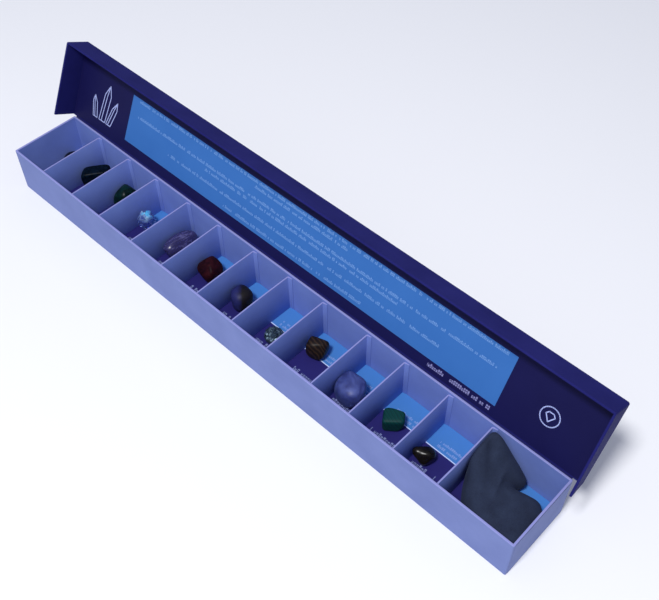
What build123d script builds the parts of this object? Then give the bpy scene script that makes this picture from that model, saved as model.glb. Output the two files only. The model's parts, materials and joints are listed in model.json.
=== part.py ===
from build123d import *
import os
from math import cos, pi, radians, sin, sqrt

os.makedirs("parts", exist_ok=True)

# A long, narrow presentation box of rigid board with a hinged lid, split into cells by thin cards.
# All sizes are in millimetres. The origin is the centre of the tray's underside, +X runs along the
# tray to the large cell, +Y goes from the front to the hinge and +Z is up.

# Tray: five boards, glued at the edges and wrapped in paper. Its length follows from its cells.
TRAY_WIDTH = 55.0
TRAY_HEIGHT = 36.5
WALL_BOARD = 1.5
BOTTOM_BOARD = 2.5

# Printed card that lies on the bottom board.
LINER_CARD = 0.4
LINER_PLAY = 0.2

# Dividers: cards folded at both ends into a tab that is glued to a long wall.
DIVIDER_CARD = 1.0
DIVIDER_TAB = 3.0
DIVIDER_FOLD = 0.8
DIVIDER_BELOW_RIM = 2.0

# Cells: the pitch of the small ones, the share of it that each one has, because the dividers are glued
# in by hand and no two cells are quite alike, and the clear length of the large one at the right end.
CELL_PITCH = 34.0
CELL_SHARES = (0.94, 1.04, 0.93, 1.04, 0.94, 1.07, 0.99, 0.94, 1.13, 0.93, 1.01, 0.97)
LARGE_CELL = 52.4

# Lid: a panel with a lip along the front and one at each end. The shut lid's lips clear the tray by their
# play, it sits a little towards the large cell, and its lining card stays a seat gap above the rim.
LID_BOARD = 1.5
LIP_BELOW_PANEL = 17.0
FRONT_LIP_PLAY = 1.6
END_LIP_PLAY = 2.5
LID_SIDE_SHIFT = 1.2
LIP_HINGE_GAP = 0.3
LID_LINING = 0.4
LINING_PLAY = 0.4
LINING_HINGE_GAP = 1.0
SEAT_GAP = 0.3

# The lid stands open at this angle from shut.
OPEN_ANGLE = 116.3

# Hinge: a strip of book cloth over the back wall and the lid, creased at the hinge line.
CLOTH = 0.4
CLOTH_ON_WALL = 16.0
CLOTH_ON_LID = 14.0
CLOTH_END_INSET = 1.0
CREASE_GAP = 0.3

# What lies in the cells stays this far from the floor and from the walls.
REST_GAP = 0.3
BAG_GAP = 1.0

# Felt bag in the large cell: the height of its low lobe, of its folded middle and of the lobe that leans
# in the back corner, and how round their corners and upper edges are.
BAG_LOW = 14.0
BAG_LOW_CORNER = 13.0
BAG_MIDDLE = 21.0
BAG_MIDDLE_CORNER = 8.0
BAG_HIGH = 28.5
BAG_HIGH_CORNER = 5.0
BAG_EDGE = 4.5

# Half the breadth of a usual tumbled stone. Each stone's half sizes are given as multiples of it.
STONE_HALF = 8.0
BLOCK_EDGE = 2.6

# Where pieces meet.
TRAY_LENGTH = sum(CELL_SHARES) * CELL_PITCH + DIVIDER_CARD / 2 + LARGE_CELL + WALL_BOARD
FLOOR_Z = BOTTOM_BOARD + LINER_CARD
INNER_WIDTH = TRAY_WIDTH - 2 * WALL_BOARD
INNER_LENGTH = TRAY_LENGTH - 2 * WALL_BOARD
LEFT_FACE = -TRAY_LENGTH / 2
FRONT_INSIDE = -INNER_WIDTH / 2
BACK_OUTSIDE = TRAY_WIDTH / 2
DIVIDER_TOP = TRAY_HEIGHT - DIVIDER_BELOW_RIM
HINGE_Y = BACK_OUTSIDE + CLOTH
HINGE_Z = TRAY_HEIGHT + SEAT_GAP + LID_LINING
LID_LENGTH = TRAY_LENGTH + 2 * (END_LIP_PLAY + LID_BOARD)
LID_FRONT = -TRAY_WIDTH / 2 - FRONT_LIP_PLAY - LID_BOARD
HINGE_LINE = Axis((0, HINGE_Y, HINGE_Z), (-1, 0, 0))


def block(low, high):
    """Box between two corners."""
    size = [high[i] - low[i] for i in range(3)]
    middle = [(high[i] + low[i]) / 2 for i in range(3)]
    return Pos(*middle) * Box(*size)


def save(name, shape):
    shape.label = name
    export_step(shape, "parts/" + name + ".step")


# ---------------------------------------------------------------- tray

def make_tray():
    half_length = TRAY_LENGTH / 2
    half_width = TRAY_WIDTH / 2
    save("tray_bottom_board", block(
        (-INNER_LENGTH / 2, -INNER_WIDTH / 2, 0),
        (INNER_LENGTH / 2, INNER_WIDTH / 2, BOTTOM_BOARD)))
    for name, side in (("front", -1), ("back", 1)):
        faces = sorted((side * half_width, side * INNER_WIDTH / 2))
        save("tray_" + name + "_wall", block(
            (-half_length, faces[0], 0), (half_length, faces[1], TRAY_HEIGHT)))
    for name, side in (("left", -1), ("right", 1)):
        faces = sorted((side * half_length, side * INNER_LENGTH / 2))
        save("tray_" + name + "_wall", block(
            (faces[0], -INNER_WIDTH / 2, 0), (faces[1], INNER_WIDTH / 2, TRAY_HEIGHT)))
    save("floor_liner", block(
        (-INNER_LENGTH / 2 + LINER_PLAY, -INNER_WIDTH / 2 + LINER_PLAY, BOTTOM_BOARD),
        (INNER_LENGTH / 2 - LINER_PLAY, INNER_WIDTH / 2 - LINER_PLAY, FLOOR_Z)))


# ---------------------------------------------------------------- dividers and cells

def divider_middles():
    """X of each divider's middle plane."""
    middles = []
    x = LEFT_FACE
    for share in CELL_SHARES:
        x += share * CELL_PITCH
        middles.append(x)
    return middles


def make_divider(middle):
    """Card that stands across the tray, with its folded tabs on the side of the large cell."""
    left = middle - DIVIDER_CARD / 2
    right = middle + DIVIDER_CARD / 2
    tab_end = right + DIVIDER_TAB
    front = FRONT_INSIDE
    back = -FRONT_INSIDE
    outline = Polyline(
        (left, front), (tab_end, front), (tab_end, front + DIVIDER_CARD), (right, front + DIVIDER_CARD),
        (right, back - DIVIDER_CARD), (tab_end, back - DIVIDER_CARD), (tab_end, back), (left, back),
        close=True)
    card = extrude(make_face(outline), DIVIDER_TOP - FLOOR_Z)
    folds = card.edges().filter_by(Axis.Z).group_by(Axis.X)[0]
    return Pos(0, 0, FLOOR_Z) * fillet(folds, DIVIDER_FOLD)


def cell_spans():
    """Left and right limit of each cell between the faces of its walls and dividers."""
    middles = divider_middles()
    starts = [LEFT_FACE + WALL_BOARD] + [x + DIVIDER_CARD / 2 for x in middles]
    ends = [x - DIVIDER_CARD / 2 for x in middles] + [-LEFT_FACE - WALL_BOARD]
    return list(zip(starts, ends))


# ---------------------------------------------------------------- lid

def make_lid():
    """Boards of the closed lid, turned about the hinge line to where the lid stands open."""
    left = -LID_LENGTH / 2 + LID_SIDE_SHIFT
    right = LID_LENGTH / 2 + LID_SIDE_SHIFT
    lip_bottom = HINGE_Z - LIP_BELOW_PANEL
    lip_back = HINGE_Y - LIP_HINGE_GAP
    inside_front = LID_FRONT + LID_BOARD
    cloth_half = TRAY_LENGTH / 2 - CLOTH_END_INSET
    panel_top = HINGE_Z + LID_BOARD
    closed = {
        "lid_panel": block((left, LID_FRONT, HINGE_Z), (right, HINGE_Y, panel_top)),
        "lid_front_lip": block((left, LID_FRONT, lip_bottom), (right, inside_front, HINGE_Z)),
        "lid_left_lip": block((left, inside_front, lip_bottom), (left + LID_BOARD, lip_back, HINGE_Z)),
        "lid_right_lip": block((right - LID_BOARD, inside_front, lip_bottom), (right, lip_back, HINGE_Z)),
        "lid_lining": block(
            (left + LID_BOARD + LINING_PLAY, inside_front + LINING_PLAY, HINGE_Z - LID_LINING),
            (right - LID_BOARD - LINING_PLAY, HINGE_Y - LINING_HINGE_GAP, HINGE_Z)),
        "hinge_cloth_upper": block(
            (-cloth_half, HINGE_Y - CLOTH_ON_LID, panel_top), (cloth_half, HINGE_Y, panel_top + CLOTH)),
    }
    for name, shape in closed.items():
        save(name, shape.rotate(HINGE_LINE, OPEN_ANGLE))
    save("hinge_cloth_lower", block(
        (-cloth_half, BACK_OUTSIDE, TRAY_HEIGHT - CLOTH_ON_WALL),
        (cloth_half, HINGE_Y, HINGE_Z - CREASE_GAP)))


# ---------------------------------------------------------------- stones

def tumbled(half_x, half_y, half_z):
    """Polished pebble: a ball stretched to three different half sizes."""
    return scale(Sphere(1.0), by=(half_x, half_y, half_z))


def rough(half_x, half_y, half_z, facets, reach):
    """Broken stone: a pebble's box cut flat along directions spread evenly by the golden angle."""
    stone = Box(2 * half_x, 2 * half_y, 2 * half_z)
    golden = pi * (3 - sqrt(5))
    for i in range(facets):
        up = 1 - 2 * (i + 0.5) / facets
        flat = sqrt(1 - up * up)
        way = (flat * cos(i * golden), flat * sin(i * golden), up)
        normal = Vector(way[0] / half_x, way[1] / half_y, way[2] / half_z).normalized()
        point = Vector(way[0] * half_x * reach, way[1] * half_y * reach, way[2] * half_z * reach)
        stone = split(stone, Plane(origin=point, z_dir=normal), keep=Keep.BOTTOM)
    return stone


def rounded_block(half_x, half_y, half_z, edge):
    """Sawn and tumbled block: a box with well rounded edges."""
    stone = Box(2 * half_x, 2 * half_y, 2 * half_z)
    return fillet(stone.edges(), edge)


# Name, form, half sizes in usual half breadths, turn in degrees, and where the stone lies: the share of
# the free room that is on its left and in front of it.
STONES = (
    ("hematite_stone", "tumbled", (0.68, 0.78, 0.59), 0, 0.05, 0.82),
    ("obsidian_stone", "tumbled", (1.55, 0.97, 1.00), 65, 0.03, 0.90),
    ("moss_agate_stone", "tumbled", (0.84, 1.12, 0.99), 0, 0.03, 0.89),
    ("rock_crystal_stone", "rough", (0.78, 0.79, 1.07), 20, 0.05, 0.67),
    ("fluorite_stone", "tumbled", (1.71, 0.82, 0.96), 85, 0.04, 0.88),
    ("red_jasper_stone", "tumbled", (1.06, 1.00, 0.95), 0, 0.03, 0.70),
    ("sodalite_stone", "tumbled", (0.97, 1.00, 1.02), 0, 0.03, 0.60),
    ("pyrite_stone", "rough", (0.85, 0.76, 0.70), 30, 0.30, 0.45),
    ("tiger_eye_stone", "tumbled", (0.94, 0.89, 0.93), 0, 0.08, 0.77),
    ("chalcedony_stone", "tumbled", (1.29, 1.29, 1.18), 0, 0.03, 0.47),
    ("malachite_stone", "block", (0.86, 0.71, 0.72), 38, 0.21, 0.56),
    ("smoky_quartz_stone", "tumbled", (0.81, 0.75, 0.75), 0, 0.03, 0.41),
)
ROUGH_FACETS = 22
ROUGH_REACH = 0.96


def make_stone(form, sizes, turn):
    """Stone of one form about its own centre, turned to how it lies."""
    half = [size * STONE_HALF for size in sizes]
    if form == "rough":
        stone = rough(*half, ROUGH_FACETS, ROUGH_REACH)
    elif form == "block":
        stone = rounded_block(*half, BLOCK_EDGE)
    else:
        stone = tumbled(*half)
    return Rot(0, 0, turn) * stone


def lay(stone, low, high, share_x, share_y):
    """Stone moved into the room between two corners, at a share of what it leaves free each way."""
    box = stone.bounding_box()
    x = low[0] + share_x * (high[0] - low[0] - box.size.X) - box.min.X
    y = low[1] + share_y * (high[1] - low[1] - box.size.Y) - box.min.Y
    return Pos(x, y, FLOOR_Z + REST_GAP - box.min.Z) * stone


def make_stones():
    front = FRONT_INSIDE + DIVIDER_CARD + REST_GAP
    for (name, form, sizes, turn, share_x, share_y), (left, right) in zip(STONES, cell_spans()):
        stone = make_stone(form, sizes, turn)
        save(name, lay(stone, (left + REST_GAP, front), (right - REST_GAP, -front), share_x, share_y))


# ---------------------------------------------------------------- felt bag

# Where each lobe of the folded bag lies, as shares of the large cell's length and depth: the low one
# fills the front and the right, and the others step up to the back left corner.
LOW_LOBE = ((0.08, 1.00), (0.00, 0.82))
MIDDLE_LOBE = ((0.00, 0.50), (0.46, 1.00))
HIGH_LOBE = ((0.00, 0.32), (0.60, 1.00))


def bag_lobe(place, height, corner):
    """Plump layer of felt: a rectangle with round corners and a round upper edge."""
    cell_left, cell_right = cell_spans()[-1]
    left = cell_left + BAG_GAP
    length = cell_right - BAG_GAP - left
    front = FRONT_INSIDE + DIVIDER_CARD + BAG_GAP
    depth = -front - front
    (x0, x1), (y0, y1) = place
    outline = RectangleRounded((x1 - x0) * length, (y1 - y0) * depth, corner)
    lobe = extrude(outline, height)
    lobe = fillet(lobe.faces().sort_by(Axis.Z)[-1].edges(), BAG_EDGE)
    return Pos(left + (x0 + x1) / 2 * length, front + (y0 + y1) / 2 * depth, FLOOR_Z + REST_GAP) * lobe


def make_bag():
    low = bag_lobe(LOW_LOBE, BAG_LOW, BAG_LOW_CORNER)
    middle = bag_lobe(MIDDLE_LOBE, BAG_MIDDLE, BAG_MIDDLE_CORNER)
    high = bag_lobe(HIGH_LOBE, BAG_HIGH, BAG_HIGH_CORNER)
    save("felt_bag", low + middle + high)


make_tray()
for number, middle in enumerate(divider_middles(), start=1):
    save("divider_%02d" % number, make_divider(middle))
make_lid()
make_stones()
make_bag()
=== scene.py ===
import json
from math import cos, pi, radians, sin, sqrt

import bmesh
import bpy
import numpy as np
from mathutils import Matrix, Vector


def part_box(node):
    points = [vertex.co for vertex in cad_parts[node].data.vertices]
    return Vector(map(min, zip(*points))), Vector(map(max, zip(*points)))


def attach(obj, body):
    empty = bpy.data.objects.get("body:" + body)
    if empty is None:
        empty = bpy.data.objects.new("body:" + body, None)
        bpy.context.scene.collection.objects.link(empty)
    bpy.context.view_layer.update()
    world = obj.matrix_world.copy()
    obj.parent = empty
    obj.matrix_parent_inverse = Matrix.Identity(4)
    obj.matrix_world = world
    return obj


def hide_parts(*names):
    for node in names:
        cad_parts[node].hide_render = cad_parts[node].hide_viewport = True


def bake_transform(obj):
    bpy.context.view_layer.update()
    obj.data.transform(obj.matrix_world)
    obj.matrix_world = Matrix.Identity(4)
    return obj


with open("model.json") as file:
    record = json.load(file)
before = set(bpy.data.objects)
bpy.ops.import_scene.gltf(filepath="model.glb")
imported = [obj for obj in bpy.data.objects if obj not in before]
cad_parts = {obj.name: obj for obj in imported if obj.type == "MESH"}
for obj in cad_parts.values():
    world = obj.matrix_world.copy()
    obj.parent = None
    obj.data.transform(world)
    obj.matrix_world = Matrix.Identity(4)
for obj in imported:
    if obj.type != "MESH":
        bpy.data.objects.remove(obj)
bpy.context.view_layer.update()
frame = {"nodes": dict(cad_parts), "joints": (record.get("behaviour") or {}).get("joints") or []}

# The looks of a long display box for minerals: a tray of wrapped board with card dividers, an open lid
# on a cloth hinge, twelve stones and a felt bag. Everything is in metres, in the frame's own axes.

MM = 0.001


# ================================================================ places, read from the frame

def box(*names):
    """Lowest and highest corner of several CAD nodes together."""
    lows, highs = zip(*[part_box(name) for name in names])
    return np.min(np.array(lows), axis=0), np.max(np.array(highs), axis=0)


def vertex_places(mesh):
    """Places of a mesh's points, one row for each."""
    places = np.empty(len(mesh.vertices) * 3)
    mesh.vertices.foreach_get("co", places)
    return places.reshape(-1, 3)


lid_hinge = next(joint for joint in frame["joints"] if joint["name"] == "lid_hinge")
HINGE = np.array(lid_hinge["pos_m"])
OPEN_ANGLE = -radians(lid_hinge["range_deg"][0])


def turned(points, angle):
    """Points turned about the hinge line; a positive angle opens the lid."""
    y, z = points[..., 1] - HINGE[1], points[..., 2] - HINGE[2]
    moved = np.array(points, float)
    moved[..., 1] = HINGE[1] + y * cos(angle) + z * sin(angle)
    moved[..., 2] = HINGE[2] - y * sin(angle) + z * cos(angle)
    return moved


def shut_box(name):
    """Lowest and highest corner that a node of the lid has when the lid is shut."""
    points = turned(vertex_places(frame["nodes"][name].data), -OPEN_ANGLE)
    return points.min(axis=0), points.max(axis=0)


TRAY_LOW, TRAY_HIGH = box("tray_front_wall", "tray_back_wall")
WALL = TRAY_HIGH[1] - box("tray_back_wall")[0][1]
FLOOR = box("floor_liner")[1][2]
DIVIDERS = ["divider_%02d" % number for number in range(1, 13)]
# Thickness of the dividers' card, and of its tabs at their ends.
CARD = 1.0 * MM
THIN_TAB = 0.35 * MM
DIVIDER_MIDDLES = [box(name)[0][0] + CARD / 2 for name in DIVIDERS]
CELL_EDGES = [TRAY_LOW[0] + WALL, *DIVIDER_MIDDLES, TRAY_HIGH[0] - WALL]
LID_LOW, LID_HIGH = shut_box("lid_panel")
LIP_BOTTOM = shut_box("lid_front_lip")[0][2]
LID_BOARD = LID_HIGH[2] - LID_LOW[2]


# ================================================================ meshes

def grid_quads(rows, columns, wrap_rows, wrap_columns):
    """Quads between neighbouring rows and columns of a grid of points, as point numbers."""
    i = np.arange(rows if wrap_rows else rows - 1)[:, None]
    j = np.arange(columns if wrap_columns else columns - 1)[None, :]
    below, beside = (i + 1) % rows, (j + 1) % columns
    corners = (i * columns + j, i * columns + beside, below * columns + beside, below * columns + j)
    return np.stack(np.broadcast_arrays(*corners), axis=-1).reshape(-1, 4)


def add_object(name, mesh, material):
    """An object in the scene for a mesh, with its material."""
    made = bpy.data.objects.new(name, mesh)
    bpy.context.scene.collection.objects.link(made)
    mesh.materials.append(material)
    return made


def clean(mesh):
    """Merges points that coincide, drops faces with no area and turns all faces outwards."""
    merge = 1e-7
    work = bmesh.new()
    work.from_mesh(mesh)
    bmesh.ops.remove_doubles(work, verts=work.verts, dist=merge)
    bmesh.ops.dissolve_degenerate(work, edges=work.edges, dist=merge)
    bmesh.ops.recalc_face_normals(work, faces=work.faces)
    work.to_mesh(mesh)
    work.free()


def lay_chart(mesh, places):
    """Gives every face corner the place of its point on the printed or woven pattern."""
    corners = np.empty(len(mesh.loops), int)
    mesh.loops.foreach_get("vertex_index", corners)
    mesh.uv_layers.new(name="print").data.foreach_set("uv", places[corners].ravel())


def skin(name, grid, material, wrap_rows=False, caps=True, crease=35, chart=None):
    """A closed surface through a grid of points whose columns run all the way round.

    Its first and last rows are closed by a flat face each, unless the rows run round too. Edges that turn
    by more than the crease angle stay sharp. chart gives each point its place on the printed pattern.
    """
    rows, columns = grid.shape[:2]
    faces = grid_quads(rows, columns, wrap_rows, True).tolist()
    if caps and not wrap_rows:
        faces += [list(range(columns)), list(range((rows - 1) * columns, rows * columns))]
    mesh = bpy.data.meshes.new(name)
    mesh.from_pydata(grid.reshape(-1, 3).tolist(), [], faces)
    clean(mesh)
    mesh.shade_smooth()
    mesh.set_sharp_from_angle(angle=radians(crease))
    if chart:
        lay_chart(mesh, chart(vertex_places(mesh)))
    return add_object(name, mesh, material)


def finish_piece(made, body, slot, *nodes):
    """Hangs a piece on its body and lets it stand for its nodes. Its finish's name, slot, is not used."""
    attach(made, body)
    if nodes:
        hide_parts(*nodes)


def board_piece(name, grid, material, body, slot, *nodes, **more):
    """A piece of board: its large flat faces set the shading, so that only its round edges look round."""
    made = skin(name, grid, material, **more)
    made.modifiers.new("board faces", "WEIGHTED_NORMAL").keep_sharp = True
    finish_piece(made, body, slot, *nodes)


def quarter(steps):
    """Angles in even steps from nothing to a right angle."""
    return np.linspace(0, pi / 2, steps + 1)


def edge_profile(low, high, edge, steps=3):
    """Inset and height along a board's edge: a quarter circle, a straight run and a quarter circle."""
    a = quarter(steps)
    inset = np.concatenate([edge * (1 - np.sin(a)), edge * (1 - np.cos(a))])
    height = np.concatenate([low + edge * (1 - np.cos(a)), high - edge * (1 - np.sin(a))])
    return inset, height


def carried_round(low, high, inset, height, radius):
    """Grid of a profile carried round a rectangle: one loop for each inset and height of the profile.

    Each loop lies its inset inside the rectangle. It is quarter circles about four centres, joined by
    runs, and its corner radius shrinks by the inset, down to a least bend.
    """
    least_bend, steps = 0.15 * MM, 4
    inset = inset[:, None]
    bend = np.maximum(radius - inset, least_bend)
    x, y = [], []
    for start, (side_x, side_y) in enumerate(((1, 1), (0, 1), (0, 0), (1, 0))):
        angle = start * pi / 2 + quarter(steps)[None, :]
        centre_x = (low[0], high[0])[side_x] - (2 * side_x - 1) * (inset + bend)
        centre_y = (low[1], high[1])[side_y] - (2 * side_y - 1) * (inset + bend)
        x.append(centre_x + bend * np.cos(angle))
        y.append(centre_y + bend * np.sin(angle))
    x, y = np.concatenate(x, axis=1), np.concatenate(y, axis=1)
    return np.stack([x, y, np.broadcast_to(height[:, None], x.shape)], axis=-1)


def board(low, high, corner, edge):
    """Grid of a board between two corners, with round corners and round edges."""
    return carried_round(low, high, *edge_profile(low[2], high[2], edge), corner)


# ================================================================ materials

def linear(code):
    """sRGB hex colour as linear light."""
    parts = [int(code[i:i + 2], 16) / 255 for i in (1, 3, 5)]
    return [c / 12.92 if c <= 0.04045 else ((c + 0.055) / 1.055) ** 2.4 for c in parts] + [1.0]


def add(tree, kind, *values, out=None, stops=(), **settings):
    """Adds a node and gives back an output: the one that is named, or else the first in use.

    Values fill the inputs in use, in their order. A setting with a capital letter is an input by its name,
    and the others are the node's own properties. A value that is another node's output becomes a link.
    Stops are the places and colours of a colour ramp.
    """
    made = tree.nodes.new("ShaderNode" + kind)
    named = {name: value for name, value in settings.items() if name[0].isupper()}
    for name, value in settings.items():
        if name not in named:
            setattr(made, name, value)
    pairs = list(zip([socket for socket in made.inputs if socket.enabled], values))
    pairs += [(made.inputs[name.replace("_", " ")], value) for name, value in named.items()]
    for socket, value in pairs:
        if isinstance(value, bpy.types.NodeSocket):
            tree.links.new(value, socket)
        else:
            socket.default_value = value
    if stops:
        while len(made.color_ramp.elements) < len(stops):
            made.color_ramp.elements.new(1.0)
        for element, (place, colour) in zip(made.color_ramp.elements, stops):
            element.position, element.color = place, colour
    return made.outputs[out] if out else next((socket for socket in made.outputs if socket.enabled), None)


def new_material(name):
    """An empty material and its tree."""
    made = bpy.data.materials.new(name)
    made.use_nodes = True
    made.node_tree.nodes.clear()
    return made, made.node_tree


def surface(made, **sockets):
    """Closes a material with one Principled shader. Each socket holds a pattern, or a value all over."""
    shader = add(made.node_tree, "BsdfPrincipled", **sockets)
    add(made.node_tree, "OutputMaterial", shader)
    return made


def product(tree, first, *others):
    """Several numbers multiplied. Where they are masks, it is 1 only where all of them are."""
    for other in others:
        first = add(tree, "Math", first, other, operation="MULTIPLY")
    return first


def weighted(tree, first, share, second):
    """A share of one pattern and the rest of another, added."""
    return add(tree, "Math", first, share, product(tree, second, 1 - share), operation="MULTIPLY_ADD")


def inside(tree, value, low, high):
    """1 where a number lies between two others."""
    above = add(tree, "Math", value, low, operation="GREATER_THAN")
    return product(tree, above, add(tree, "Math", value, high, operation="LESS_THAN"))


def uneven(tree, where, grain, depth, strength, detail=3.0):
    """Relief of a surface that isn't quite even: noise with grains of a given size and depth.

    The grains of a coating or a polish are too fine to show, so they are drawn 0.5 to 2 mm wide.
    """
    height = add(tree, "TexNoise", where, Scale=1 / grain, Detail=detail)
    return add(tree, "Bump", Height=height, Distance=depth, Strength=strength)


def in_tray(tree, place, inset):
    """1 inside the tray's outline moved in by an inset, and 0 outside it; place is x, y and z."""
    spans = [inside(tree, place[axis], TRAY_LOW[axis] + inset, TRAY_HIGH[axis] - inset) for axis in (0, 1)]
    return product(tree, *spans)


def tray_colour_with_painted_light(tree, where, tone, outside, lining, fold_wear_and_highlight):
    """The wrap's colour on the tray, with painted light: bluer and brighter inside the walls and on the
    dividers, as painted bounce light from the blue floor print and the lid, and paler along the top edges, as
    worn paper with a painted highlight.

    The pale bands are a thin one at the walls' rim and one at the dividers' top edges.
    """
    rim_band, below_card, above_card, clear = 0.35 * MM, 0.25 * MM, 0.15 * MM, 0.1 * MM
    place = add(tree, "SeparateXYZ", where).node.outputs
    # Painted bounce light: inside the walls, dividers included, the colour is bluer and brighter.
    bounce_lit = add(tree, "Mix", tone, *map(linear, lining), data_type="RGBA")
    colour = add(tree, "Mix", in_tray(tree, place, WALL - clear), outside, bounce_lit, data_type="RGBA")
    # Worn paper and a painted highlight: the walls' rim and the dividers' top edges are drawn paler.
    rim = add(tree, "Math", place[2], TRAY_HIGH[2] - rim_band, operation="GREATER_THAN")
    card_top = box("divider_01")[1][2]
    at_top = inside(tree, place[2], card_top - below_card, card_top + above_card)
    card_edge = product(tree, in_tray(tree, place, WALL + clear), at_top)
    edges = add(tree, "Math", rim, card_edge, operation="MAXIMUM")
    return add(tree, "Mix", edges, colour, linear(fold_wear_and_highlight), data_type="RGBA")


def wrapping_paper(name, colours, roughness, specular, lining=None, fold_wear_and_highlight=None):
    """Wrapping paper, dyed and calendered: even, matt and a little cloudy, with short pressed fibres."""
    made, tree = new_material(name)
    where = add(tree, "TexCoord", out="Object")
    cloud = add(tree, "TexNoise", where, Scale=1 / (22 * MM), Detail=3.0)
    # Fibres are 1 to 3 mm long; the noise is stretched along the tray, as paper's grain runs.
    along = add(tree, "Mapping", where, Scale=(0.35, 1.0, 1.0))
    fibre = add(tree, "TexNoise", along, Scale=1 / (0.6 * MM), Detail=4.0, Roughness=0.65)
    tone = add(tree, "MapRange", weighted(tree, fibre, 0.3, cloud), 0.35, 0.65)
    colour = add(tree, "Mix", tone, *map(linear, colours), data_type="RGBA")
    # On the tray, painted light goes into the colour: painted blue bounce light inside the walls, and a
    # painted highlight with wear on the top edges.
    if lining:
        colour = tray_colour_with_painted_light(tree, where, tone, colour, lining, fold_wear_and_highlight)
    sheen = add(tree, "MapRange", fibre, 0.3, 0.7, roughness - 0.06, roughness + 0.06)
    relief = add(tree, "Bump", Height=fibre, Distance=0.02 * MM, Strength=0.6)
    return surface(made, Base_Color=colour, Roughness=sheen, Specular_IOR_Level=specular, Normal=relief)


# The lining colours are painted blue bounce light for the tray's inside, not a second paper; the fold colour
# is worn paper with a painted highlight.
LAVENDER = wrapping_paper("lavender wrapping paper", ("#6F7DB4", "#7987BE"), 0.62, 0.2,
                          lining=("#7387CC", "#7D92D6"), fold_wear_and_highlight="#8B8FC9")
NAVY = wrapping_paper("matt laminated navy paper", ("#1E1F5C", "#242567"), 0.6, 0.03)


def dashes(tree, along, height, row, size, seed):
    """Broken dashes that look like small print and spell nothing: 1 on a stroke and 0 beside it.

    Height runs from 0 to 1 over a row. Dashes are cells along the row, each with its own height and its own
    hole by its random number, and about one in six is left out as a gap.
    """
    sides, left_out = (0.14, 0.86), 0.17
    mostly_low, low_top, tall_top = (0.62, 0.66), 0.68, 1.0
    hole_middles, half_width, half_height = (0.2, 0.6), 0.16, 0.14
    place = add(tree, "Math", along, size, operation="DIVIDE")
    key = add(tree, "CombineXYZ", add(tree, "Math", place, operation="FLOOR"), row, seed)
    dice = add(tree, "TexWhiteNoise", key, noise_dimensions="3D")
    tall, raised, _ = add(tree, "SeparateColor", dice.node.outputs["Color"]).node.outputs
    within = add(tree, "Math", place, operation="FRACT")
    top = add(tree, "MapRange", tall, *mostly_low, low_top, tall_top)
    body = product(tree, inside(tree, height, 0.0, top), inside(tree, within, *sides))
    # A hole in the middle of each dash, higher or lower by its random number.
    hole_middle = add(tree, "MapRange", raised, 0.0, 1.0, *hole_middles)
    hole = product(tree, add(tree, "Math", within, 0.5, half_width, operation="COMPARE"),
                   add(tree, "Math", height, hole_middle, half_height, operation="COMPARE"))
    kept = add(tree, "Math", dice, left_out, operation="GREATER_THAN")
    return product(tree, body, kept, add(tree, "Math", 1.0, hole, operation="SUBTRACT"))


def row_of_dashes(tree, x, y, span, row, size, seed):
    """One straight row of broken dashes that stands between two heights."""
    height = add(tree, "MapRange", y, *span)
    return product(tree, dashes(tree, x, height, row, size, seed), inside(tree, y, *span))


# The floor card's print: a light blue back and a navy front, parted by a pale line. Every small cell has
# one row of dashes on the navy and two on the blue. Rows are measured from the front wall's inner face,
# and places along a row from the cell's middle. A cell is CELL_STEP wide on the chart.
CELL_STEP = 0.1
BORDER = 33.2 * MM
BORDER_WIDTH = 0.7 * MM
FRONT_ROW, FRONT_DASH = (15.6 * MM, 18.6 * MM), 1.9 * MM
FRONT_START, FRONT_END = -13.3 * MM, (1 * MM, 9 * MM)
BACK_ROWS, BACK_DASH = ((35.4 * MM, 37.2 * MM), (38.8 * MM, 40.6 * MM)), 1.3 * MM
BACK_REACH = (7.5 * MM, 12 * MM)
FLOOR_INK = 0.48


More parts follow.
